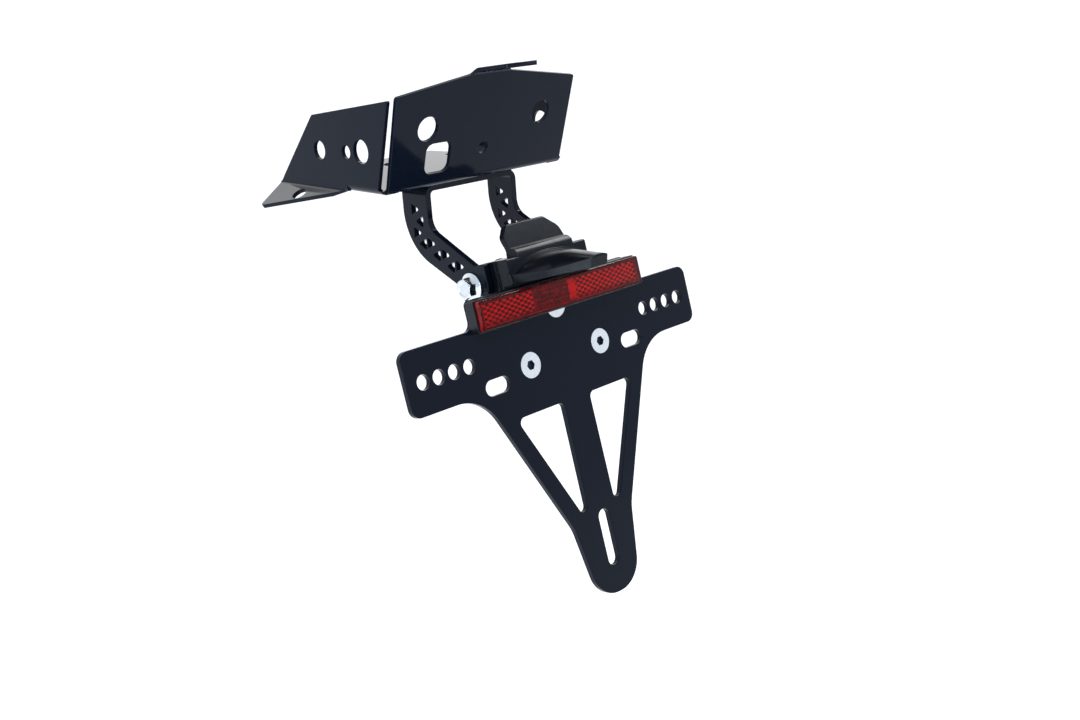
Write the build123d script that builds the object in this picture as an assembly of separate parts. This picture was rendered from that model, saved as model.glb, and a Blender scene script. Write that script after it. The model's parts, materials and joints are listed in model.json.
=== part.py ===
from build123d import *
import os
from math import sin, cos, tan, radians, hypot, acos

# Motorbike tail tidy: a folded tail bracket, a pair of arms under it, and a
# number-plate carrier with a light housing and a reflector, which tilts
# between the arms.  Millimetres, +Z up, -Y towards the rear of the motorbike.
# The shapes are drawn from the bend line at the foot of the rear panel, and
# the last step moves the origin to the middle of the two base holes.

# ---------------------------------------------------------------- dimensions
# tail bracket
SHEET = 2.0                  # thickness of the bracket's sheet
BEND = 1.6                   # inner radius of its folds
HALF = 55.9                  # outer half width across the side wings
BASE_LEN = 80.1              # length of the base
LEAN = 16.39                 # the rear panel leans back by this angle
PANEL_TOP = (53.3, 43.62)    # upper corner of the rear panel
PANEL_FOOT = 52.7            # half width at its foot
PANEL_APEX = 51.52           # where the sloping top edges would meet
TAB_HALF = 9.3               # half width of the top tab
TAB_FOLD = 50.62             # height of the tab's fold along the panel
TAB_LEN = 20.4
TAB_RISE = 6.11
PANEL_HOLE_GAP = 68.0        # between the two round holes in the panel
PANEL_HOLE_S = 27.72
PANEL_HOLE_R = 5.55
SQUARE_HOLE = (-26.5, 13.4, 14.1)
SMALL_HOLE = (0.0, 14.72, 2.9)
WING_HOLES = ((12.81, 18.5, 5.25), (23.8, 17.58, 3.0), (44.1, 17.19, 4.2))
WING_REAR_FOOT = (2.36, 4.0)
WING_REAR_TOP = (-8.8, 41.0)
WING_FRONT_TOP = (47.9, 32.8)
WING_FRONT_FOOT = 78.5
FLAP_DROP = 28.0             # the flaps slope down by this angle
FLAP_TIP = (74.3, 18.0)
FLAP_START = 25.2            # behind this the wing folds in to the base
FLAP_HOLE = (56.1, 5.95, 3.55)
BASE_HOLE_HALF = 35.0
BASE_HOLE_Y = 59.0
BASE_HOLE_R = 3.5
CABLE_HOLE = (59.0, 7.5)
# arm bracket
ARM_T = 3.0
ARM_BEND = 2.0
ARM_HALF = 28.0              # outer half width across the arms
FIX_HALF = 17.5              # screws that join the arm bracket to the base
FIX_Y = 34.0
TONGUE = (23.0, 42.0)        # half width and front end of the cross plate's tongue
TRI = ((13.72, -11.57), (11.17, -16.92), (12.91, -22.36), (9.92, -27.20), (3.63, -26.38),
       (0.58, -31.52), (-6.05, -30.49), (-8.85, -35.54), (-15.33, -34.61))
TRI_SIZE = 5.2
# tilting part: its frame has x across, y forward and z up along the carrier
TILT = 14.72                 # the carrier leans by this angle, foot rearward
CARRIER_Y, CARRIER_Z = -48.71, -67.77
PIVOT_Y, PIVOT_Z = 18.4, 30.6
BOLT_R = 3.0
FIT = 0.06                   # radial clearance of the pivot
PLATE_T = 3.0
PLATE_HALF = 90.0
ROW = (55.8, 64.2, 72.5, 80.9)
ROW_R = 3.3
SLOT = (43.06, -11.92, 14.0, 7.0)
SCREWS = ((-22.42, -7.99), (22.42, -7.99), (0.0, 14.4))
HEAD_R = 5.825
REFLECTOR_HALF = 51.0         # black tray
REFLECTOR_LOW, REFLECTOR_HIGH = 12.4, 26.55
LENS_HALF, LENS_LOW, LENS_HIGH = 50.0, 12.95, 26.0
REFLECTOR_FRONT = -10.1
STUD_X = 38.0
HOUSE_HALF = 24.7            # runs between the arms with 0.3 mm each side
HOUSE_TOP = 39.7
HOUSE_LOW = 28.2

S17, C17 = sin(radians(LEAN)), cos(radians(LEAN))
HALF_T = PLATE_T / 2


# ------------------------------------------------------------------- helpers
def loop(pts):
    """Closed face through corners (a, b) or (a, b, radius)."""
    n = len(pts)
    corner = []
    for i in range(n):
        p, q, s = pts[i - 1], pts[i], pts[(i + 1) % n]
        r = q[2] if len(q) > 2 else 0.0
        if r <= 0:
            corner.append((q[:2], None, q[:2]))
            continue
        d0 = (p[0] - q[0], p[1] - q[1])
        d1 = (s[0] - q[0], s[1] - q[1])
        l0, l1 = hypot(*d0), hypot(*d1)
        d0 = (d0[0] / l0, d0[1] / l0)
        d1 = (d1[0] / l1, d1[1] / l1)
        ang = acos(max(-1.0, min(1.0, d0[0] * d1[0] + d0[1] * d1[1])))
        run = r / tan(ang / 2)
        bx, by = d0[0] + d1[0], d0[1] + d1[1]
        lb = hypot(bx, by)
        far = r / sin(ang / 2) - r
        corner.append(((q[0] + d0[0] * run, q[1] + d0[1] * run),
                       (q[0] + bx / lb * far, q[1] + by / lb * far),
                       (q[0] + d1[0] * run, q[1] + d1[1] * run)))
    edges = []
    for i in range(n):
        a, m, b = corner[i]
        if m is not None:
            edges.append(ThreePointArc(a, m, b))
        nxt = corner[(i + 1) % n][0]
        if hypot(nxt[0] - b[0], nxt[1] - b[1]) > 1e-6:
            edges.append(Line(b, nxt))
    return make_face(edges)


def strip(path, t, r_in):
    """Section of a folded sheet: path is one face, the other lies to its right."""
    dirs = []
    for p, q in zip(path, path[1:]):
        l = hypot(q[0] - p[0], q[1] - p[1])
        dirs.append(((q[0] - p[0]) / l, (q[1] - p[1]) / l))
    near, off = [path[0]], []
    d = dirs[0]
    off.append((path[0][0] + d[1] * t, path[0][1] - d[0] * t))
    for i in range(1, len(path) - 1):
        d0, d1 = dirs[i - 1], dirs[i]
        turn = d0[0] * d1[1] - d0[1] * d1[0]
        nx, ny = d0[1] + d1[1], -(d0[0] + d1[0])
        k = t / (1 + d0[0] * d1[0] + d0[1] * d1[1])
        o = (path[i][0] + nx * k, path[i][1] + ny * k)
        if turn > 0:
            near.append((path[i][0], path[i][1], r_in))
            off.append((o[0], o[1], r_in + t))
        else:
            near.append((path[i][0], path[i][1], r_in + t))
            off.append((o[0], o[1], r_in))
    d = dirs[-1]
    near.append(path[-1])
    off.append((path[-1][0] + d[1] * t, path[-1][1] - d[0] * t))
    return loop(near + off[::-1])


def along_x(face, x0, x1):
    """Face drawn in (y, z), extruded from x0 to x1."""
    return extrude(Plane.YZ.offset(x0) * face, x1 - x0)


def along_y(face, y0, y1):
    """Face drawn in (x, z), extruded from y0 to y1."""
    return extrude(Plane.XZ.offset(-y0) * face, -(y1 - y0))


def along_z(face, z0, z1):
    """Face drawn in (x, y), extruded from z0 to z1."""
    return extrude(Plane.XY.offset(z0) * face, z1 - z0)


def bar(r, z0, z1):
    return Pos(0, 0, (z0 + z1) / 2) * Cylinder(r, z1 - z0)


def ring(r_out, r_in, z0, z1):
    return bar(r_out, z0, z1) - bar(r_in, z0 - 1, z1 + 1)


def hexagon(across, z0, z1, turn=0):
    return extrude(Pos(0, 0, z0) * RegularPolygon(across / 2, 6, major_radius=False, rotation=turn), z1 - z0)


def both(part):
    return [part, mirror(part, Plane.YZ)]


# -------------------------------------------------------------- tail bracket
tab_end = (-S17 * TAB_FOLD - TAB_LEN * cos(radians(TAB_RISE)),
           C17 * TAB_FOLD + TAB_LEN * sin(radians(TAB_RISE)))
main = along_x(strip([(BASE_LEN, 0), (0, 0), (-S17 * TAB_FOLD, C17 * TAB_FOLD), tab_end],
                     SHEET, BEND), -60, 60)
panel = Plane(origin=(0, 0, 0), x_dir=(1, 0, 0), z_dir=(0, -C17, -S17))
slope = (PANEL_TOP[0] - PANEL_FOOT) / PANEL_TOP[1]
neck_s = PANEL_APEX - (PANEL_APEX - PANEL_TOP[1]) * TAB_HALF / PANEL_TOP[0]
for side in (1, -1):
    outline = loop([(side * 75, -10), (side * (PANEL_FOOT - 10 * slope), -10),
                    (side * PANEL_TOP[0], PANEL_TOP[1], 1.4),
                    (side * TAB_HALF, neck_s, 4.0), (side * TAB_HALF, 80), (side * 75, 80)])
    main -= extrude(panel * outline, 48, both=True)
    edge = loop([(side * 75, FLAP_START), (side * 50, FLAP_START), (side * 38.6, 74, 3),
                 (side * 37.8, BASE_LEN + 0.1), (side * 37.8, 95), (side * 75, 95)])
    main -= along_z(edge, -6, 7)
# rounded corners of the tab
for side in (1, -1):
    nick = loop([(side * (TAB_HALF - 3), tab_end[0] - 1), (side * (TAB_HALF - 3), tab_end[0]),
                 (side * TAB_HALF, tab_end[0], 2.9), (side * TAB_HALF, tab_end[0] + 3),
                 (side * (TAB_HALF + 3), tab_end[0] + 3), (side * (TAB_HALF + 3), tab_end[0] - 1)])
    main -= along_z(nick, 40, 60)

wing = along_x(loop([WING_REAR_FOOT, (*WING_REAR_TOP, 0.7), (*WING_FRONT_TOP, 2.0),
                     (WING_FRONT_FOOT - 4 * (WING_FRONT_FOOT - WING_FRONT_TOP[0]) / WING_FRONT_TOP[1], 4)]),
               HALF - SHEET, HALF)
fold_in = along_y(strip([(HALF, 6), (HALF, 0), (46, 0)], SHEET, BEND), 1.2, FLAP_START)
rear = (WING_REAR_TOP[0] - WING_REAR_FOOT[0]) / (WING_REAR_TOP[1] - WING_REAR_FOOT[1])
fold_in -= along_x(loop([(-5, 2), (WING_REAR_FOOT[0] - 2 * rear, 2), (WING_REAR_FOOT[0] + 2.2 * rear, 6.2), (-5, 6.2)]),
                   50, 60)
cd, sd = cos(radians(FLAP_DROP)), sin(radians(FLAP_DROP))
fold_out = along_y(strip([(HALF, 6), (HALF, 0), (HALF + 21 * cd, -21 * sd)], SHEET, BEND),
                   FLAP_START, WING_FRONT_FOOT)
fold_out -= along_x(loop([(WING_FRONT_FOOT, 0.2), (WING_FRONT_FOOT - 6.5, 7), (95, 7), (95, 0.2)]), 50, 56)
flap_plane = Plane(origin=(HALF, 0, 0), x_dir=(0, 1, 0), z_dir=(-sd, 0, -cd))
flap_keep = extrude(flap_plane * loop([(10, -16), (10, -1.0), (27.5, -0.4), (*FLAP_TIP, 2.0),
                                       (WING_FRONT_FOOT, 0.4), (WING_FRONT_FOOT, -16)]), 14, both=True)
fold_out = fold_out & flap_keep
fold_out -= along_x(loop([(20, 0.02), (FLAP_START + 0.8, 0.02), (36, -3.2), (36, -9), (20, -9)]), 50, 63)
fold_out -= flap_plane * (Pos(FLAP_HOLE[0], FLAP_HOLE[1], 0) * Cylinder(FLAP_HOLE[2], 12))
right = wing + fold_in + fold_out
tail_bracket = main + right + mirror(right, Plane.YZ)

for y, z, r in WING_HOLES:
    tail_bracket -= Pos(0, y, z) * Rot(0, 90, 0) * Cylinder(r, 160)
for x, s, r in ((-PANEL_HOLE_GAP / 2, PANEL_HOLE_S, PANEL_HOLE_R),
                (PANEL_HOLE_GAP / 2, PANEL_HOLE_S, PANEL_HOLE_R), SMALL_HOLE):
    tail_bracket -= panel * (Pos(x, s, 0) * Cylinder(r, 9))
sx, ss, sw = SQUARE_HOLE
tail_bracket -= extrude(panel * Pos(sx, ss, 0) * RectangleRounded(sw, sw, 3.8), 4.5, both=True)
for side in (1, -1):
    tail_bracket -= Pos(side * BASE_HOLE_HALF, BASE_HOLE_Y, 1) * Cylinder(BASE_HOLE_R, 6)
    tail_bracket -= Pos(side * FIX_HALF, FIX_Y, 1) * Cylinder(3.3, 6)
tail_bracket -= Pos(0, CABLE_HOLE[0], 1) * Cylinder(CABLE_HOLE[1], 6)

# --------------------------------------------------------------- arm bracket
ct, st = cos(radians(TILT)), sin(radians(TILT))


def to_side(y, z):
    """Carrier frame (y, z) to the bracket's (y, z)."""
    return (CARRIER_Y + y * ct + z * st, CARRIER_Z - y * st + z * ct)


pivot = to_side(PIVOT_Y, PIVOT_Z)
band = loop([(5.06, 1), (22.67, 1), (22.09, -29.6, 26), (-23.16, -47.5), (-26.08, -33.5), (4.67, -19.7, 8)])
pad = loop([(*to_side(16, 39.7),), (*to_side(8, 39.7), 1.2), (*to_side(8, 24.0), 6),
            (*to_side(22, 24.0),)])
arm_side = band + pad + Pos(*pivot) * Circle(9.8)
u_bend = along_y(strip([(ARM_HALF, -70), (ARM_HALF, 0), (-ARM_HALF, 0), (-ARM_HALF, -70)][::-1],
                       ARM_T, ARM_BEND), -50, 30)
arm_bracket = u_bend & along_x(arm_side, -40, 40)
arm_bracket += along_z(loop([(-TONGUE[0], 20), (-TONGUE[0], TONGUE[1], 5), (TONGUE[0], TONGUE[1], 5), (TONGUE[0], 20)]),
                       -ARM_T, 0)
for i, (y, z) in enumerate(TRI):
    k = -1 if i % 2 == 0 else 1
    h = TRI_SIZE / 2
    arm_bracket -= along_x(loop([(y + k * h, z, 0.5), (y - k * h, z + h, 0.5), (y - k * h, z - h, 0.5)]), -40, 40)
arm_bracket -= Pos(0, *pivot) * Rot(0, 90, 0) * Cylinder(BOLT_R + FIT, 90)
for side in (1, -1):
    arm_bracket -= Pos(side * FIX_HALF, FIX_Y, -1.5) * Cylinder(3.3, 8)


# ---------------------------------------------------------- bracket fasteners
def dome_screw():
    """Button-head screw, seat at z = 0, shank downwards."""
    head = revolve(Plane.XZ * make_face([Line((0, 0), (5.2, 0)), Line((5.2, 0), (5.2, 0.5)),
                                         ThreePointArc((5.2, 0.5), (3.6, 2.3), (0, 3.2)),
                                         Line((0, 3.2), (0, 0))]), Axis.Z)
    return head + bar(3.0, -9.6, 0.1) - hexagon(4.0, 1.2, 5)


screw = dome_screw()
nut = hexagon(10.0, -7.2, -4.0) & bar(5.65, -7.2, -4.0)
nut = nut - bar(3.05, -12, 0)
bracket_screws, bracket_washers, bracket_nuts = [], [], []
for side in (1, -1):
    at = Pos(side * FIX_HALF, FIX_Y, 0)
    bracket_screws.append(at * Pos(0, 0, SHEET) * screw)
    bracket_washers.append(at * ring(5.8, 3.2, -ARM_T - 1.0, -ARM_T))
    bracket_nuts.append(at * nut)


# --------------------------------------------------------------- pivot bolts
def flange_bolt():
    """Hex flange bolt, seat at z = 0, head upwards."""
    head = revolve(Plane.XZ * make_face([Line((0, 0), (6.6, 0)), Line((6.6, 0), (6.6, 0.9)),
                                         Line((6.6, 0.9), (4.2, 2.1)), Line((4.2, 2.1), (0, 2.1)),
                                         Line((0, 2.1), (0, 0))]), Axis.Z)
    top = revolve(Plane.XZ * make_face([Line((0, 0.5), (4.9, 0.5)), Line((4.9, 0.5), (4.9, 5.0)),
                                        Line((4.9, 5.0), (4.2, 5.6)), Line((4.2, 5.6), (3.3, 5.6)),
                                        Line((3.3, 5.6), (2.9, 5.25)), Line((2.9, 5.25), (0, 5.25)),
                                        Line((0, 5.25), (0, 0.5))]), Axis.Z)
    return head + (hexagon(8.6, 0.5, 6, 30) & top) + bar(BOLT_R, -14, 0.1)


bolt_plane = Plane(origin=(ARM_HALF + 0.1, *pivot), x_dir=(0, 1, 0), z_dir=(1, 0, 0))
pivot_bolts = both(bolt_plane * flange_bolt())

# --------------------------------------------------- tilting part: own frame
frame = Location((0, CARRIER_Y, CARRIER_Z), (-TILT, 0, 0))

# plate carrier
half = [(49.5, 26.95, 2.5), (49.5, 14.3, 4.0), (PLATE_HALF, 14.3, 4.5), (PLATE_HALF, -13.8, 4.5),
        (52.81, -13.8, 22.0), (19.08, -85.88, 20.0), (12.89, -122.0, 14.4)]
carrier_face = loop(half + [(-p[0], *p[1:]) for p in half[::-1]])
plate_carrier = along_y(carrier_face, -HALF_T, HALF_T)
for side in (1, -1):
    window = loop([(side * 8.55, -28.8, 2.7), (side * 37.2, -28.8, 2.7), (side * 8.9, -88.2, 2.5)])
    plate_carrier -= along_y(window, -5, 5)
    for x in ROW:
        plate_carrier -= Pos(side * x, 0, 0) * Rot(90, 0, 0) * Cylinder(ROW_R, 10)
    plate_carrier -= along_y(Pos(side * SLOT[0], SLOT[1]) * SlotOverall(SLOT[2], SLOT[3]), -5, 5)
    plate_carrier -= Pos(side * STUD_X, 0, (REFLECTOR_LOW + REFLECTOR_HIGH) / 2) * Rot(90, 0, 0) * Cylinder(2.75, 10)
plate_carrier -= along_y(Pos(0, -95.75) * SlotOverall(26.9, 6.8, rotation=90), -5, 5)
head_plane = {}
for x, z in SCREWS:
    seat = Plane(origin=(x, -HALF_T, z), x_dir=(1, 0, 0), z_dir=(0, -1, 0))
    head_plane[(x, z)] = seat
    sink = revolve(Plane.XZ * make_face(Polyline((0, 1), (HEAD_R + 0.15, 1), (HEAD_R + 0.15, -0.28), (3.3, -2.9),
                                                 (3.3, -6), (0, -6), (0, 1))), Axis.Z)
    plate_carrier -= seat * sink


def flush_screw():
    """Countersunk socket screw, face at z = 0, shank downwards."""
    body = revolve(Plane.XZ * make_face(Polyline((0, 0), (HEAD_R, 0), (HEAD_R, -0.25), (BOLT_R, -3.0),
                                                 (BOLT_R, -11.0), (2.5, -11.6), (0, -11.6), (0, 0))), Axis.Z)
    return body - hexagon(4.0, -2.3, 1)


plate_screws = [head_plane[p] * flush_screw() for p in SCREWS]
plate_inserts = [head_plane[p] * ring(4.2, 3.05, -11.4, -PLATE_T - 0.1) for p in SCREWS]

# light housing: block between the arms, skirt behind the carrier, tab, hood
block = along_x(loop([(-4.0, HOUSE_LOW), (-4.0, HOUSE_TOP, 1.2), (13.0, HOUSE_TOP, 10.0), (28.4, HOUSE_TOP - 3.6, 6.0), (28.4, 23.2, 6.5),
                      (16.0, 19.6, 4), (9.6, 15.6, 3), (9.6, 5), (HALF_T + 0.1, 5), (HALF_T + 0.1, HOUSE_LOW)]),
                -HOUSE_HALF, HOUSE_HALF)
skirt = along_y(loop([(-29.4, 12, 4), (-12, 18.6, 8), (12, 18.6, 8), (29.4, 12, 4), (29.4, -15.2, 5),
                      (13, -15.2, 6), (7, -5, 6), (-7, -5, 6), (-13, -15.2, 6), (-29.4, -15.2, 5)]),
                HALF_T + 0.1, 9.6)
tab_side = along_x(loop([(-4.0, 30), (-4.0, 43.6, 4.6), (0.9, 43.6), (6.2, 54.5, 0.9),
                         (8.75, 53.15, 0.9), (3.6, 43.2, 6), (3.6, 30)]), -30, 30)
tab_face = along_y(loop([(-HOUSE_HALF, 30), (-HOUSE_HALF, HOUSE_TOP), (-17.3, HOUSE_TOP, 2.2), (-17.3, 48.4, 4.5),
                         (-11.2, 54.4, 4), (11.2, 54.4, 4), (17.3, 48.4, 4.5), (17.3, HOUSE_TOP, 2.2),
                         (HOUSE_HALF, HOUSE_TOP), (HOUSE_HALF, 30)]), -10, 20)
upright = tab_side & tab_face & along_z(loop([(-17.4, -4.1, 1.2), (17.4, -4.1, 1.2), (17.4, 14), (-17.4, 14)]), 35, 60)


def hood_section(y, h, foot, crease, top, low):
    """Cross section of the hood: flat foot, upright cheeks, arched top."""
    arch = ThreePointArc((h, crease), (0, top), (-h, crease))
    face = make_face([Line((-foot, low), (foot, low)), Line((foot, low), (h, crease)), arch,
                      Line((-h, crease), (-foot, low))])
    return Plane.XZ.offset(-y) * face


hood_outer = loft([hood_section(-3.0, 25.4, 24.6, 32.8, 38.9, HOUSE_LOW),
                   hood_section(-17.5, 15.0, 14.2, 31.2, 37.3, HOUSE_LOW),
                   hood_section(-35.4, 5.0, 4.2, 32.5, 33.5, HOUSE_LOW)], ruled=True)
hood_outer -= along_x(loop([(-35.5, 32.6), (-33.6, 27.0), (-40, 27.0), (-40, 32.6)]), -20, 20)
hood_outer = hood_outer - along_x(loop([(-2.9, 20), (-2.9, 45), (5, 45), (5, 20)]), -30, 30)
rim = extrude(hood_section(-5.0, 25.3, 24.5, 33.2, 39.4, HOUSE_LOW), 2.0, dir=(0, 1, 0))
light_housing = block + skirt + upright + hood_outer + rim
# chamber of the light, open at the foot of the hood
chamber = loft([hood_section(-6.0, 20.0, 20.0, 31.6, 36.2, 27),
                hood_section(-17.0, 12.0, 12.0, 31.0, 35.0, 27),
                hood_section(-30.5, 3.6, 3.6, 31.4, 32.2, 27)], ruled=True)
LENS = [(20.9, -5.4), (12.6, -17.4), (4.2, -31.0)]


def lens_outline(grow):
    pts = [(x + grow, y) for x, y in LENS]
    pts[0] = (pts[0][0], pts[0][1] + grow)
    pts[-1] = (pts[-1][0], pts[-1][1] - grow)
    return loop(pts + [(-x, y) for x, y in pts[::-1]])


light_housing -= chamber & Pos(0, -18, 35) * Box(80, 60, 8.8)
light_housing -= along_z(lens_outline(-1.2), 27, 32)
light_housing -= along_z(lens_outline(0.1), 27, 30.6)
# cable way from the chamber to the back, and a hollow in the back of the block
light_housing -= Pos(0, 12, 33.2) * Rot(90, 0, 0) * Cylinder(2.2, 40)
light_housing -= Pos(0, 27, 33.2) * Rot(90, 0, 0) * Cylinder(4.6, 6)
light_housing -= along_x(loop([(11.5, 10), (11.5, 29.6, 2), (25.0, 29.6, 2), (25.0, 10)]), -10.5, 10.5)
# pivot bores, insert bores, and a shallow groove down each flank
light_housing -= Pos(0, PIVOT_Y, PIVOT_Z) * Rot(0, 90, 0) * (Pos(0, 0, 18.7) * Cylinder(4.25, 12.4)
                                                              + Pos(0, 0, -18.7) * Cylinder(4.25, 12.4))
for p in SCREWS:
    light_housing -= head_plane[p] * bar(4.25, -12.4, 0)
for side in (1, -1):
    light_housing -= Pos(side * HOUSE_HALF, 3.4, 34) * Box(1.6, 1.8, 20)
pivot_insert = ring(4.2, BOLT_R + 0.05, 12.6, HOUSE_HALF - 0.1)
pivot_inserts = both(Pos(0, PIVOT_Y, PIVOT_Z) * Rot(0, 90, 0) * pivot_insert)

# light: seal, lens, board, LEDs, grommet
lens_seal = along_z(lens_outline(-0.05), 30.0, 30.55) - along_z(lens_outline(-1.3), 29, 32)
light_lens = along_z(lens_outline(-0.05), HOUSE_LOW + 0.1, 30.0)
light_lens = fillet(light_lens.edges().filter_by(Axis.Z), 0.8)
led_board = along_z(loop([(15.0, -7.0), (8.2, -15.8), (-8.2, -15.8), (-15.0, -7.0)]), 32.0, 32.9)
leds = [Pos(x, y, 31.6) * Box(3.0, 2.8, 0.8) for x, y in ((-11.0, -9.4), (0, -9.4), (11.0, -9.4),
                                                          (-6.0, -13.8), (6.0, -13.8))]
grommet = bar(4.5, -3.0, 0) + bar(6.2, 0, 1.6) - bar(2.2, -5, 5)
cable_grommet = Plane(origin=(0, 28.45, 33.2), x_dir=(1, 0, 0), z_dir=(0, 1, 0)) * grommet

# reflector: black tray, red lens, studs through the carrier, washers and nuts
mid = (REFLECTOR_LOW + REFLECTOR_HIGH) / 2
tall = REFLECTOR_HIGH - REFLECTOR_LOW
tray = along_y(Pos(0, mid) * RectangleRounded(2 * REFLECTOR_HALF, tall, 1.2), -6.9, -HALF_T)
tray -= along_y(Pos(0, mid) * RectangleRounded(2 * REFLECTOR_HALF - 2.4, tall - 2.4, 0.8), -7.5, -5.2)
reflector_base = tray
for side in (1, -1):
    reflector_base -= Pos(side * STUD_X, -3.3, mid) * Rot(90, 0, 0) * Cylinder(2.55, 3.6)
lens_mid, lens_tall = (LENS_LOW + LENS_HIGH) / 2, LENS_HIGH - LENS_LOW
cap = along_y(Pos(0, lens_mid) * RectangleRounded(2 * LENS_HALF, lens_tall, 1.1), REFLECTOR_FRONT, -6.9)
cap = fillet(cap.faces().sort_by(Axis.Y)[0].edges(), 0.6)
reflector_lens = cap + along_y(Pos(0, mid) * RectangleRounded(2 * REFLECTOR_HALF - 2.6, tall - 2.6, 0.7), -6.95, -5.25)
back = Plane(origin=(0, HALF_T, mid), x_dir=(1, 0, 0), z_dir=(0, 1, 0))
stud = bar(2.5, -6.5, 7.0)
small_nut = (hexagon(8.0, 1.1, 5.1) & bar(4.5, 1.1, 5.1)) - bar(2.55, -5, 9)
reflector_studs = [back * Pos(s * STUD_X, 0, 0) * stud for s in (1, -1)]
reflector_washers = [back * Pos(s * STUD_X, 0, 0) * ring(5.0, 2.6, 0, 1.0) for s in (1, -1)]
reflector_nuts = [back * Pos(s * STUD_X, 0, 0) * small_nut for s in (1, -1)]

# ------------------------------------------------------------------ write out
fixed = {"tail_bracket": tail_bracket, "arm_bracket": arm_bracket, "bracket_screws": bracket_screws,
         "bracket_washers": bracket_washers, "bracket_nuts": bracket_nuts, "pivot_bolts": pivot_bolts}
tilting = {"light_housing": light_housing, "pivot_inserts": pivot_inserts, "plate_carrier": plate_carrier,
           "plate_screws": plate_screws, "plate_inserts": plate_inserts, "reflector_base": reflector_base,
           "reflector_lens": reflector_lens, "reflector_studs": reflector_studs,
           "reflector_washers": reflector_washers, "reflector_nuts": reflector_nuts, "light_lens": light_lens,
           "lens_seal": lens_seal, "led_board": led_board, "leds": leds, "cable_grommet": cable_grommet}
origin = Pos(0, -BASE_HOLE_Y, -SHEET)


def placed(shape, where):
    """Every solid of a node, moved into the part's frame."""
    items = shape if isinstance(shape, list) else [shape]
    solids = []
    for it in items:
        solids += [where * s for s in it.solids()]
    return solids[0] if len(solids) == 1 else Compound(children=solids)


os.makedirs("parts", exist_ok=True)
for name, shape in fixed.items():
    export_step(placed(shape, origin), f"parts/{name}.step")
for name, shape in tilting.items():
    export_step(placed(shape, origin * frame), f"parts/{name}.step")
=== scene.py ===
import json
import bpy
import bmesh
from math import sin, cos, pi, radians, hypot, floor, sqrt
from mathutils import Vector, Matrix


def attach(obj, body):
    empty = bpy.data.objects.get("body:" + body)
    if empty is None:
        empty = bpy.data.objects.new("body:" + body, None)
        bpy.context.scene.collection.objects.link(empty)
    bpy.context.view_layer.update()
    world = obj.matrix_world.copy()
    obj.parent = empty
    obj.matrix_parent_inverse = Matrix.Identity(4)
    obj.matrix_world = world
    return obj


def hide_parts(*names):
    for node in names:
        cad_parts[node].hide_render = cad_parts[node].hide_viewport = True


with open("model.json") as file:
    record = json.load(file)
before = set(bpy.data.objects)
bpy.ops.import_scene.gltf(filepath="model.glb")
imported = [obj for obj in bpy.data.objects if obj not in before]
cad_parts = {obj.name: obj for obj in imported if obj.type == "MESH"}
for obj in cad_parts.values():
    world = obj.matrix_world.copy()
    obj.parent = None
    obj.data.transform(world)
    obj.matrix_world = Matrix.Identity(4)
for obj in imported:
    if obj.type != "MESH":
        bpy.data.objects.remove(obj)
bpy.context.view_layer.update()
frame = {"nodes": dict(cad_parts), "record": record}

MM = 0.001
scene = bpy.context.scene
bodies = frame["record"]["behaviour"]["bodies"]
body_of = {n: b for b, ns in bodies.items() for n in ns}
slot_of = {p["node"]: p["material_slot"] for p in frame["record"]["subparts"]}

# The tilting part's own frame: x across, y forward, z up along the carrier.
TILT = radians(14.72)
CARRIER = Matrix.Translation((0, -107.71 * MM, -69.77 * MM)) @ Matrix.Rotation(-TILT, 4, "X")


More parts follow.
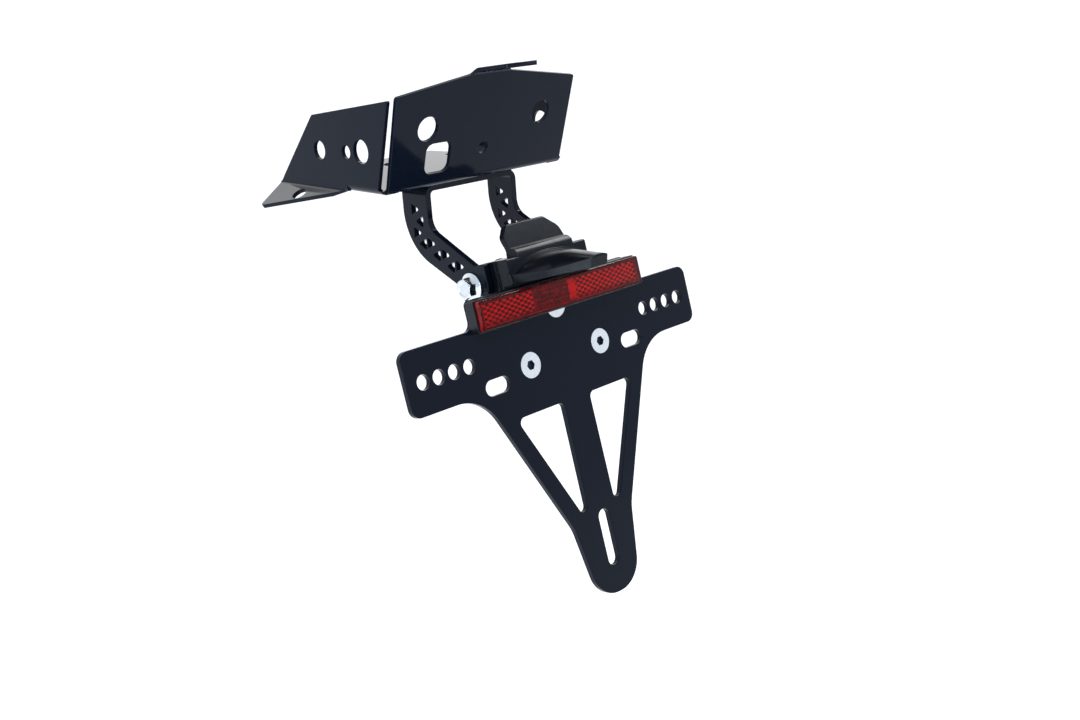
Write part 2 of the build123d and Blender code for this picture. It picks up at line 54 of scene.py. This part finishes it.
# ------------------------------------------------------------------ materials
class Mat:
    """A material with a Principled surface and short ways to add nodes."""

    def __init__(self, name, **sockets):
        self.m = bpy.data.materials.new(name)
        self.m.use_nodes = True
        self.nt = self.m.node_tree
        self.b = self.nt.nodes["Principled BSDF"]
        self.coord = self.add("ShaderNodeTexCoord")
        self.bump_in = None
        for k, v in sockets.items():
            self.set(k.replace("_", " "), v)

    def add(self, painted_light_index, **props):
        n = self.nt.nodes.new(painted_light_index)
        for k, v in props.items():
            setattr(n, k, v)
        return n

    def link(self, a, b):
        self.nt.links.new(a, b)

    def set(self, name, value):
        s = self.b.inputs[name]
        if hasattr(s.default_value, "__len__") and len(value) == 3:
            value = (*value, 1.0)
        s.default_value = value

    def place(self, node, stretch):
        if stretch:
            mp = self.add("ShaderNodeMapping")
            mp.inputs["Scale"].default_value = stretch
            self.link(self.coord.outputs["Object"], mp.inputs["Vector"])
            self.link(mp.outputs["Vector"], node.inputs["Vector"])
        else:
            self.link(self.coord.outputs["Object"], node.inputs["Vector"])

    def noise(self, size, detail=3.0, rough=0.55, stretch=None, distortion=0.0):
        """Noise whose features are about size metres across."""
        n = self.add("ShaderNodeTexNoise")
        n.inputs["Scale"].default_value = 1.0 / size
        n.inputs["Detail"].default_value = detail
        n.inputs["Roughness"].default_value = rough
        n.inputs["Distortion"].default_value = distortion
        self.place(n, stretch)
        return n.outputs["Fac"]

    def cells(self, size):
        """One random value for each cell of about size metres."""
        n = self.add("ShaderNodeTexVoronoi")
        n.inputs["Scale"].default_value = 1.0 / size
        self.place(n, None)
        sep = self.add("ShaderNodeSeparateColor")
        self.link(n.outputs["Color"], sep.inputs["Color"])
        return sep.outputs["Red"]

    def ramp(self, fac, stops):
        r = self.add("ShaderNodeValToRGB")
        els = r.color_ramp.elements
        while len(els) < len(stops):
            els.new(0.5)
        for e, (p, c) in zip(els, stops):
            e.position = p
            e.color = (*c, 1.0) if hasattr(c, "__len__") else (c, c, c, 1.0)
        self.link(fac, r.inputs["Fac"])
        return r.outputs["Color"]

    def colour(self, fac, stops):
        self.link(self.ramp(fac, stops), self.b.inputs["Base Color"])

    def rough(self, fac, low, high, p0=0.3, p1=0.7):
        self.link(self.ramp(fac, [(p0, low), (p1, high)]), self.b.inputs["Roughness"])

    def bump(self, height, strength, distance):
        n = self.add("ShaderNodeBump")
        n.inputs["Strength"].default_value = strength
        n.inputs["Distance"].default_value = distance
        self.link(height, n.inputs["Height"])
        if self.bump_in is not None:
            self.link(self.bump_in, n.inputs["Normal"])
        self.bump_in = n.outputs["Normal"]
        self.link(self.bump_in, self.b.inputs["Normal"])


def powder_coat(name, dark, light, low, high, ior, peel=0.10):
    """Satin powder coat: cured grain, a soft orange peel and patchy gloss."""
    m = Mat(name, Specular_IOR_Level=0.5, IOR=ior, Specular_Tint=(0.92, 0.96, 1.0))
    grain = m.noise(0.0005, 4.0, 0.6)
    m.colour(grain, [(0.32, dark), (0.70, light)])
    m.rough(m.noise(0.014, 3.0, 0.5), low, high)
    m.bump(m.noise(0.0018, 2.0, 0.5), peel * 0.6, 0.00005)
    m.bump(grain, peel, 0.00002)
    return m.m


def plated(name, colour, low, high, marks=0.02):
    """Bright zinc plate with faint turning marks and a cloudy gloss."""
    m = Mat(name, Metallic=1.0)
    cloud = m.noise(0.0032, 3.0, 0.5)
    m.colour(cloud, [(0.3, tuple(c * 0.93 for c in colour)), (0.7, colour)])
    m.rough(m.noise(0.0016, 2.0, 0.5), low, high)
    m.bump(m.noise(0.0009, 2.0, 0.5), marks, 0.00002)
    return m.m


def moulded(name, dark, light, low, high, grain=0.12, size=0.00035, ior=1.42):
    """Moulded plastic with a fine eroded skin."""
    m = Mat(name, Specular_IOR_Level=0.5, IOR=ior, Specular_Tint=(0.76, 0.87, 1.0))
    skin = m.noise(size, 3.0, 0.6)
    m.colour(m.noise(0.006, 3.0, 0.5), [(0.3, dark), (0.72, light)])
    m.rough(m.noise(0.004, 3.0, 0.6), low, high)
    m.bump(skin, grain, 0.00003)
    return m.m


mats = {
    "bracket_coat": powder_coat("bracket_powder_coat", (0.0032, 0.0055, 0.0125), (0.0056, 0.0088, 0.0178), 0.06, 0.10, 1.21, 0.06),
    "arm_coat": powder_coat("arm_powder_coat", (0.0030, 0.0050, 0.0108), (0.0050, 0.0078, 0.0155), 0.08, 0.13, 1.24, 0.07),
    "carrier_coat": powder_coat("carrier_powder_coat", (0.0030, 0.0052, 0.0115), (0.0052, 0.0082, 0.0165), 0.11, 0.16, 1.22, 0.08),
    "zinc": plated("zinc_plate", (0.90, 0.93, 0.94), 0.14, 0.26, 0.05),
    "brass": plated("turned_brass", (0.72, 0.53, 0.24), 0.25, 0.36),
    "housing_plastic": moulded("housing_plastic", (0.0024, 0.0032, 0.0052), (0.0042, 0.0054, 0.0082), 0.20, 0.27, 0.022, 0.0005, 1.29),
    "reflector_black": moulded("reflector_black", (0.0050, 0.0058, 0.0080), (0.0085, 0.0095, 0.0120), 0.26, 0.34, 0.08, 0.00035, 1.36),
    "seal_rubber": moulded("seal_rubber", (0.010, 0.010, 0.010), (0.018, 0.018, 0.018), 0.60, 0.75, 0.2, 0.0005),
    "board": moulded("board_mask", (0.68, 0.70, 0.67), (0.78, 0.79, 0.76), 0.35, 0.45, 0.1, 0.0006),
    "led": moulded("led_package", (0.78, 0.70, 0.36), (0.88, 0.82, 0.52), 0.28, 0.36, 0.08, 0.0004),
}


def red_clear():
    """Clear red acrylic of the reflector's front."""
    m = Mat("reflector_red", IOR=1.26, Transmission_Weight=0.99)
    m.rough(m.noise(0.003, 3.0, 0.5), 0.01, 0.03)
    m.colour(m.noise(0.01, 2.0, 0.5), [(0.3, (0.94, 0.042, 0.036)), (0.7, (0.98, 0.050, 0.043))])
    return m.m


def red_painted_light(name, dark, light):
    """Facets of the reflector's prismatic back, in a red with painted light: lit, half-shaded and shaded copies of one
    red, each cell with a random painted sparkle; also the cover's painted-shade side walls.
    """
    m = Mat(name, IOR=1.3, Specular_IOR_Level=0.4)
    m.colour(m.cells(0.0032), [(0.1, dark), (0.9, light)])
    m.rough(m.noise(0.002, 3.0, 0.5), 0.16, 0.26)
    return m.m


def clear_plastic():
    m = Mat("light_lens_clear", IOR=1.49, Transmission_Weight=1.0)
    m.colour(m.noise(0.012, 2.0, 0.5), [(0.3, (0.93, 0.95, 0.96)), (0.7, (0.97, 0.98, 0.98))])
    m.rough(m.noise(0.002, 3.0, 0.5), 0.06, 0.14)
    return m.m


mats["reflector_red"] = red_clear()
mats["clear_lens"] = clear_plastic()
# Bright, middle and dark copies of the same red: painted highlight, painted half shade and painted shade for the prism
# facets.
prism_painted_light_mats = [red_painted_light("prism_painted_highlight", (0.86, 0.045, 0.034), (1.0, 0.150, 0.095)),
              red_painted_light("prism_painted_half_shade", (0.15, 0.010, 0.010), (0.33, 0.024, 0.021)),
              red_painted_light("prism_painted_shade", (0.070, 0.006, 0.008), (0.150, 0.013, 0.016))]


# -------------------------------------------------------------------- helpers
def new_object(name, mesh):
    ob = bpy.data.objects.new(name, mesh)
    scene.collection.objects.link(ob)
    return ob


def finish_piece(ob, node, also=()):
    """Put a piece on its node's body, with that node's finish."""
    slot = slot_of[node]
    ob.data.materials.clear()
    ob.data.materials.append(mats[slot])
    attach(ob, body_of[node])
    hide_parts(node, *also)
    return ob


def inward(face, edge):
    """Direction in a face's plane, square to one of its edges, into the face."""
    a, b = edge.verts[0].co, edge.verts[1].co
    d = (b - a).normalized()
    n = face.normal.cross(d)
    if n.dot(face.calc_center_median() - a) < 0:
        n = -n
    return n.normalized()


def fan(v):
    """Faces round a vertex in turn, each with the edge that leads to the next."""
    start = v.link_loops[0]
    out, lp = [], start
    while True:
        out.append((lp.face, lp.link_loop_prev.edge))
        lp = lp.link_loop_prev.link_loop_radial_next
        if lp == start or len(out) > 400:
            return out


def rounded(node, name, width, steps=3, angle=27.0, build=None):
    """A copy of a node whose sharp edges are rounded by width, with true normals."""
    bm = bmesh.new()
    bm.from_mesh(frame["nodes"][node].data)
    bmesh.ops.remove_doubles(bm, verts=bm.verts, dist=2e-6)
    bmesh.ops.dissolve_degenerate(bm, edges=bm.edges, dist=1e-7)
    bm.normal_update()
    bm.verts.index_update()
    bm.edges.index_update()
    bm.faces.index_update()
    limit = radians(angle)
    sharp = {e.index for e in bm.edges if len(e.link_faces) == 2 and e.calc_face_angle(0.0) > limit}
    # sectors: runs of faces round a vertex between its sharp edges
    sector = {}
    parts = []
    for v in bm.verts:
        ring = fan(v)
        cuts = [i for i, (f, e) in enumerate(ring) if e.index in sharp]
        if len(cuts) < 2:
            parts.append([([f for f, e in ring], None, None)])
            for f, e in ring:
                sector[(v.index, f.index)] = 0
            continue
        k = cuts[-1] + 1
        ring = ring[k:] + ring[:k]
        runs, run, first = [], [], ring[-1][1]
        for f, e in ring:
            run.append(f)
            sector[(v.index, f.index)] = len(runs)
            if e.index in sharp:
                runs.append((run, first, e))
                run, first = [], e
        parts.append(runs)
    push = []
    for v, runs in zip(bm.verts, parts):
        row = []
        for faces, e1, e2 in runs:
            if e1 is None:
                row.append(Vector((0, 0, 0)))
                continue
            n1, n2 = inward(faces[0], e1), inward(faces[-1], e2)
            d = (n1 + n2) / max(0.25, 1.0 + n1.dot(n2))
            if d.length > 2.2:
                d = d * (2.2 / d.length)
            row.append(d)
        push.append(row)
    scale = [1.0] * len(bm.verts)

    def at(v, k):
        return v.co + push[v.index][k] * (width * scale[v.index])

    for turn in range(10):
        bad = set()
        for e in bm.edges:
            if e.index not in sharp:
                continue
            a, b = e.verts
            for f in e.link_faces:
                q = at(b, sector[(b.index, f.index)]) - at(a, sector[(a.index, f.index)])
                if q.dot(b.co - a.co) < 0.12 * (b.co - a.co).length_squared:
                    bad.update((a.index, b.index))
        for f in bm.faces:
            if len(f.verts) != 3 or f.calc_area() < 2e-9:
                continue
            p = [at(v, sector[(v.index, f.index)]) for v in f.verts]
            if (p[1] - p[0]).cross(p[2] - p[0]).dot(f.normal) <= 0:
                bad.update(v.index for v in f.verts)
        if not bad:
            break
        for i in bad:
            scale[i] *= 0.6
    points, normals, faces_out = [], [], []

    def add(p, n):
        points.append(p)
        normals.append(n.normalized() if n.length > 1e-9 else Vector((0, 0, 1)))
        return len(points) - 1

    where = []
    for v, runs in zip(bm.verts, parts):
        row = []
        for k, (fs, e1, e2) in enumerate(runs):
            n = Vector((0, 0, 0))
            for f in fs:
                lp = next(l for l in f.loops if l.vert == v)
                n += f.normal * lp.calc_angle()
            row.append(add(at(v, k), n))
        where.append(row)
    chains = {}
    for v, runs in zip(bm.verts, parts):
        if len(runs) < 2:
            continue
        ring_pts = []
        for k in range(len(runs)):
            e = runs[k][2]
            k2 = (k + 1) % len(runs)
            ia, ib = where[v.index][k], where[v.index][k2]
            if len(runs) == 2 and k == 1:
                prev = chains[(v.index, runs[0][2].index)]
                chains[(v.index, e.index)] = prev[::-1]
                continue
            a, b = points[ia], points[ib]
            if len(runs) == 2:
                p = v.co
            else:
                d = (e.other_vert(v).co - v.co).normalized()
                p = v.co + d * (0.5 * ((a - v.co).dot(d) + (b - v.co).dot(d)))
            row = [ia]
            for j in range(1, steps):
                t = j / steps
                row.append(add(a * (1 - t) ** 2 + p * 2 * t * (1 - t) + b * t * t,
                               normals[ia] * (1 - t) + normals[ib] * t))
            row.append(ib)
            chains[(v.index, e.index)] = row
            ring_pts += row[:-1]
        if len(runs) > 2:
            mid = Vector((0, 0, 0))
            nor = Vector((0, 0, 0))
            for i in ring_pts:
                mid += points[i]
                nor += normals[i]
            mid /= len(ring_pts)
            c = add(mid + (v.co - mid) * 0.3, nor)
            for i, j in zip(ring_pts, ring_pts[1:] + ring_pts[:1]):
                faces_out.append((c, i, j))
    for f in bm.faces:
        faces_out.append(tuple(where[v.index][sector[(v.index, f.index)]] for v in f.verts))
    for e in bm.edges:
        if e.index not in sharp:
            continue
        f1 = e.link_loops[0].face
        v1 = e.link_loops[0].vert
        v2 = e.other_vert(v1)
        rows = []
        for v in (v1, v2):
            start = where[v.index][sector[(v.index, f1.index)]]
            ch = chains.get((v.index, e.index))
            if ch is None:
                ch = [start] * (steps + 1)
            elif ch[0] != start:
                ch = ch[::-1]
            rows.append(ch)
        r1, r2 = rows
        for j in range(steps):
            q = []
            for i in (r2[j], r1[j], r1[j + 1], r2[j + 1]):
                if i not in q:
                    q.append(i)
            if len(q) > 2:
                faces_out.append(tuple(q))
    bm.free()
    me = bpy.data.meshes.new(name)
    me.from_pydata(points, [], faces_out)
    me.validate(verbose=False)
    me.polygons.foreach_set("use_smooth", [True] * len(me.polygons))
    me.normals_split_custom_set_from_vertices([tuple(n) for n in normals])
    me.update()
    return finish_piece(new_object(name, me), node)


def mesh_piece(name, points, faces, mat, body, smooth=True, sharp=None):
    """A new piece from points and faces in metres."""
    me = bpy.data.meshes.new(name)
    me.from_pydata(points, [], faces)
    me.validate(verbose=False)
    me.materials.append(mat)
    me.polygons.foreach_set("use_smooth", [smooth] * len(me.polygons))
    if smooth and sharp is not None:
        me.set_sharp_from_angle(angle=radians(sharp))
    me.update()
    ob = new_object(name, me)
    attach(ob, body)
    return ob


def round_rect(hx, hz, r, n=6):
    """Corner points of a rounded rectangle, counter-clockwise in (x, z)."""
    out = []
    for cx, cz, a0 in ((hx - r, hz - r, 0), (r - hx, hz - r, 90), (r - hx, r - hz, 180), (hx - r, r - hz, 270)):
        for i in range(n + 1):
            a = radians(a0 + 90 * i / n)
            out.append((cx + r * cos(a), cz + r * sin(a)))
    return out


def skin(rings, close=False):
    """Faces between rings of equal length; ends capped unless the rings close up."""
    n = len(rings[0])
    pts = [p for r in rings for p in r]
    faces = []
    last = len(rings) if close else len(rings) - 1
    for k in range(last):
        a, b = k * n, ((k + 1) % len(rings)) * n
        for i in range(n):
            j = (i + 1) % n
            faces.append((a + i, a + j, b + j, b + i))
    if not close:
        faces.append(tuple(range(n))[::-1])
        faces.append(tuple(range(len(pts) - n, len(pts))))
    return pts, faces


def threaded(r, pitch, length, chamfer, around=40, per=8):
    """A rod along +z from 0 with a helical thread, in millimetres."""
    depth = 0.54 * pitch
    rows = int(length / pitch * per) + 1
    rings = []
    for k in range(rows + 1):
        z = length * k / rows
        end = min(z, length - z)
        ring = []
        for i in range(around):
            a = 2 * pi * i / around
            ph = (z / pitch - i / around) % 1.0
            saw = abs(2 * ph - 1)
            cut = min(1.0, max(0.0, (saw - 0.12) / 0.76))
            rr = min(r - depth * cut, r - depth - 0.1 + end + (0.0 if end < chamfer else 9.0))
            ring.append((rr * cos(a), rr * sin(a), z))
        rings.append(ring)
    return skin(rings)


# ------------------------------------------------------------ pieces from CAD
rounded("tail_bracket", "bracket_sheet", 0.32 * MM)
rounded("arm_bracket", "arm_sheet", 0.40 * MM)
rounded("plate_carrier", "carrier_sheet", 0.45 * MM)
rounded("light_housing", "housing_shell", 0.30 * MM, angle=15.0)
rounded("reflector_base", "reflector_tray", 0.30 * MM)
bolts = rounded("pivot_bolts", "pivot_bolt_pair", 0.16 * MM, 2)
bolts.data.materials[0] = plated("zinc_bolt", (0.74, 0.79, 0.82), 0.10, 0.20, 0.05)
heads = rounded("plate_screws", "plate_screw_set", 0.12 * MM, 2)
# The faces inside the three hex sockets get a dark blue zinc: painted shade of the recesses.
heads.data.materials.append(plated("zinc_socket_painted_shade", (0.11, 0.13, 0.19), 0.30, 0.42))
for f in heads.data.polygons:
    q = CARRIER.inverted() @ f.center / MM
    near = min(hypot(q.x - a, q.z - b) for a, b in ((-22.42, -7.99), (22.42, -7.99), (0.0, 14.4)))
    if near < 2.4 and -1.35 < q.y < 1.5:
        f.material_index = 1
rounded("bracket_screws", "bracket_screw_pair", 0.12 * MM, 2)
rounded("bracket_washers", "bracket_washer_pair", 0.12 * MM, 2)
rounded("bracket_nuts", "bracket_nut_pair", 0.14 * MM, 2)
rounded("reflector_washers", "reflector_washer_pair", 0.12 * MM, 2)
rounded("reflector_nuts", "reflector_nut_pair", 0.14 * MM, 2)
rounded("cable_grommet", "cable_bush", 0.45 * MM)
rounded("light_lens", "light_window", 0.20 * MM, 2)
rounded("led_board", "light_board", 0.10 * MM, 2)
rounded("leds", "light_leds", 0.12 * MM, 2)
for node in ("lens_seal", "pivot_inserts", "plate_inserts"):
    ob = frame["nodes"][node]
    ob.data.materials.clear()
    ob.data.materials.append(mats[slot_of[node]])

# ------------------------------------------------------------ reflector, studs
R_HALF, R_LOW, R_HIGH, R_FRONT = 50.0, 12.95, 26.0, -10.1
R_MID = (R_LOW + R_HIGH) / 2


def carrier_points(pts):
    return [tuple(CARRIER @ (Vector(p) * MM)) for p in pts]


# clear cover: a tray-shaped shell, open towards the prisms
rings = []
hx, hz = R_HALF, (R_HIGH - R_LOW) / 2
for inset, y in ((0.60, R_FRONT), (0.30, R_FRONT + 0.08), (0.08, R_FRONT + 0.30), (0.0, R_FRONT + 0.60), (0.0, -7.0),
                 (0.1, -6.92), (0.9, -6.92), (1.0, -7.0), (1.0, R_FRONT + 0.95)):
    rings.append([(x, y, R_MID + z) for x, z in round_rect(hx - inset, hz - inset, max(0.25, 1.1 - inset))])
pts, faces = skin(rings)
cover = mesh_piece("reflector_cover", carrier_points(pts), [f[::-1] for f in faces], mats["reflector_red"],
                   body_of["reflector_lens"], True, 35)
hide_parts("reflector_lens")
# The cover's side walls get an opaque dark red: painted shade in place of the clear red walls.
cover.data.materials.append(red_painted_light("reflector_edge_painted_shade", (0.09, 0.005, 0.006), (0.25, 0.010, 0.011)))
for f in cover.data.polygons:
    q = CARRIER.inverted() @ f.center / MM
    if R_FRONT + 0.65 < q.y < -7.2 and (abs(q.x) > R_HALF - 0.55 or abs(q.z - R_MID) > hz - 0.55):
        f.material_index = 1

# prismatic back: cube corners in three fields, a plain border and a rib between two fields; their reds are painted
# light, a lit, half-shaded and shaded copy of one red set by each facet's turn
STEP = 1.30
RIB = 6.0


def prisms(x0, x1, z0, z1, turn):
    """Cube-corner facets that fill a field; turn swaps the grid's rows and columns."""
    pts, faces, kinds, seen = [], [], [], {}
    u, v = ((STEP, 0), (STEP / 2, STEP * sqrt(3) / 2))
    if turn:
        u, v = ((0, STEP), (STEP * sqrt(3) / 2, STEP / 2))
    rise = STEP * 0.60

    def put(i, j):
        if (i, j) not in seen:
            x = x0 + i * u[0] + j * v[0]
            z = z0 + i * u[1] + j * v[1]
            x, z = min(max(x, x0), x1), min(max(z, z0), z1)
            seen[(i, j)] = len(pts)
            pts.append((x, -6.5 - rise * ((i - j) % 3), z))
        return seen[(i, j)]

    near = ((1, 0), (0, 1), (-1, 1), (-1, 0), (0, -1), (1, -1))
    for i in range(-160, 160):
        for j in range(-160, 160):
            if (i - j) % 3:
                continue
            x = x0 + i * u[0] + j * v[0]
            z = z0 + i * u[1] + j * v[1]
            if not (x0 - STEP < x < x1 + STEP and z0 - STEP < z < z1 + STEP):
                continue
            ring = [(i + a, j + b) for a, b in near]
            for k in (0, 2, 4):
                a, b, c = (ring[(k + q) % 6] for q in range(3))
                if (a[0] - a[1]) % 3 != 1:
                    a, b, c = (ring[(k + 1 + q) % 6] for q in range(3))
                quad = [put(i, j), put(*a), put(*b), put(*c)]
                co = [Vector(pts[q]) for q in quad]
                if (co[1] - co[0]).cross(co[2] - co[0]).length > 0.02 and (co[2] - co[0]).cross(co[3] - co[0]).length > 0.02:
                    n = (co[1] - co[0]).cross(co[3] - co[0])
                    faces.append(tuple(quad if n.y < 0 else quad[::-1]))
                    kinds.append(k // 2)
    return pts, faces, kinds


sheet_pts, sheet_faces, sheet_painted_light = [], [], []


def put_in(pts, faces, kinds=None, painted_light_by_turn=(0, 1, 2)):
    base = len(sheet_pts)
    sheet_painted_light.extend([painted_light_by_turn[k] for k in kinds] if kinds else [1] * len(faces))
    sheet_pts.extend(pts)
    sheet_faces.extend(tuple(base + i for i in f) for f in faces)


def slab(x0, x1, z0, z1, y0, y1, painted_light_index=1):
    c = [(x, y, z) for y in (y0, y1) for x, z in ((x0, z0), (x1, z0), (x1, z1), (x0, z1))]
    put_in(c, [(0, 1, 2, 3), (7, 6, 5, 4), (0, 4, 5, 1), (1, 5, 6, 2), (2, 6, 7, 3), (3, 7, 4, 0)],
           [0] * 6, (painted_light_index,))


PX, PZ0, PZ1 = 48.2, R_LOW + 1.9, R_HIGH - 1.9
# Each field maps its three facet turns to painted highlight (0), painted half shade (1) and painted shade (2).
put_in(*prisms(-PX, -18.0, PZ0, PZ1, False), painted_light_by_turn=(0, 2, 2))
put_in(*prisms(-18.0, RIB - 2.4, PZ0, PZ1, True), painted_light_by_turn=(1, 2, 2))
put_in(*prisms(RIB + 2.4, PX, PZ0, PZ1, False), painted_light_by_turn=(0, 0, 2))
put_in(*prisms(RIB - 2.4, RIB + 2.4, PZ0, PZ1, True), painted_light_by_turn=(0, 0, 0))
EX = R_HALF - 1.15
slab(-EX, EX, R_LOW + 1.15, PZ0, -8.6, -6.3)
# The top border slab takes the painted shade red; the other border slabs take the painted half shade red.
slab(-EX, EX, PZ1, R_HIGH - 1.15, -8.6, -6.3, 2)
slab(-EX, -PX, PZ0, PZ1, -8.6, -6.3)
slab(PX, EX, PZ0, PZ1, -8.6, -6.3)
slab(-EX, EX, R_LOW + 1.15, R_HIGH - 1.15, -6.3, -5.6)
sheet = mesh_piece("reflector_prisms", carrier_points(sheet_pts), sheet_faces, prism_painted_light_mats[0], body_of["reflector_lens"],
                   False)
for m in prism_painted_light_mats[1:]:
    sheet.data.materials.append(m)
sheet.data.polygons.foreach_set("material_index", sheet_painted_light)

# threaded studs behind the carrier
stud_pts, stud_faces = [], []
for side in (1, -1):
    pts, faces = threaded(2.5, 0.8, 13.5, 0.5)
    base = len(stud_pts)
    stud_pts += [(side * 38.0 + x, -5.0 + z, 19.475 + y) for x, y, z in pts]
    stud_faces += [tuple(base + i for i in f)[::-1] for f in faces]
studs = mesh_piece("reflector_stud_pair", carrier_points(stud_pts), stud_faces, mats["zinc"],
                   body_of["reflector_studs"], True, 32)
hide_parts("reflector_studs")

# ------------------------------------------------------------- floor and light
bpy.ops.mesh.primitive_plane_add(size=14, location=(0, 0, -0.62))
ground = bpy.context.object
ground.name = "floor"
fm = Mat("pale_floor", Roughness=0.8, Emission_Strength=0.22, Emission_Color=(1.0, 1.0, 1.0))
fm.colour(fm.noise(0.5, 2.0, 0.5), [(0.3, (0.90, 0.905, 0.91)), (0.7, (0.92, 0.925, 0.93))])
ground.data.materials.append(fm.m)

world = bpy.data.worlds.new("studio")
scene.world = world
world.use_nodes = True
wt = world.node_tree
wt.nodes.clear()
tc = wt.nodes.new("ShaderNodeTexCoord")
dot = wt.nodes.new("ShaderNodeVectorMath")
dot.operation = "DOT_PRODUCT"
dot.inputs[1].default_value = Vector((0.62, 0.76, 0.20)).normalized()
ramp = wt.nodes.new("ShaderNodeValToRGB")
els = ramp.color_ramp.elements
els[0].position, els[0].color = 0.18, (0.70, 0.77, 0.88, 1)
els[1].position, els[1].color = 0.88, (1.35, 1.35, 1.35, 1)
mid_el = els.new(0.52)
mid_el.color = (0.80, 0.85, 0.93, 1)
scale = wt.nodes.new("ShaderNodeMapRange")
scale.inputs["From Min"].default_value = -1.0
scale.inputs["From Max"].default_value = 1.0
back = wt.nodes.new("ShaderNodeBackground")
seen = wt.nodes.new("ShaderNodeBackground")
seen.inputs["Color"].default_value = (1, 1, 1, 1)
seen.inputs["Strength"].default_value = 1.05
path = wt.nodes.new("ShaderNodeLightPath")
mix = wt.nodes.new("ShaderNodeMixShader")
out = wt.nodes.new("ShaderNodeOutputWorld")
wt.links.new(tc.outputs["Generated"], dot.inputs[0])
wt.links.new(dot.outputs["Value"], scale.inputs["Value"])
wt.links.new(scale.outputs["Result"], ramp.inputs["Fac"])
wt.links.new(ramp.outputs["Color"], back.inputs["Color"])
wt.links.new(path.outputs["Is Camera Ray"], mix.inputs["Fac"])
wt.links.new(back.outputs["Background"], mix.inputs[1])
wt.links.new(seen.outputs["Background"], mix.inputs[2])
wt.links.new(mix.outputs["Shader"], out.inputs["Surface"])
scene.view_settings.view_transform = "Standard"


def softbox(name, loc, target, size, power, colour=(1, 1, 1)):
    li = bpy.data.lights.new(name, "AREA")
    li.shape = "RECTANGLE"
    li.size, li.size_y = size
    li.energy = power
    li.color = colour
    ob = bpy.data.objects.new(name, li)
    scene.collection.objects.link(ob)
    ob.location = loc
    ob.rotation_euler = (Vector(target) - Vector(loc)).to_track_quat("-Z", "Y").to_euler()
    ob.visible_camera = False
    return ob


softbox("back_box", (0.02, 0.95, 0.78), (-0.02, -0.03, 0.0), (1.1, 0.5), 3.6)
softbox("shoulder_box", (0.66, 0.045, 0.70), (0.0, -0.105, -0.03), (0.64, 0.30), 4.2, (1.0, 0.97, 0.93))
softbox("left_strip", (-1.166, -0.372, 0.06), (-0.02, -0.12, -0.04), (0.18, 0.34), 2.6)
softbox("cheek_box", (-0.95, -0.335, -0.295), (-0.01, -0.125, -0.035), (0.25, 0.28), 1.1)

# --------------------------------------------------------------------- camera
cam = bpy.data.cameras.new("photo_view")
cam.sensor_fit = "HORIZONTAL"
cam.sensor_width = 36.0
cam.lens = 40.22
cam.clip_start = 0.02
cam.clip_end = 60
view = bpy.data.objects.new("photo_view", cam)
scene.collection.objects.link(view)
right = Vector((0.710825, -0.701596, -0.049897))
up = Vector((0.250168, 0.185881, 0.950192))
back_dir = Vector((-0.657375, -0.687903, 0.307647))
view.matrix_world = Matrix(((right.x, up.x, back_dir.x, -367.69 * MM), (right.y, up.y, back_dir.y, -478.325 * MM),
                            (right.z, up.z, back_dir.z, 87.949 * MM), (0, 0, 0, 1)))
scene.camera = view
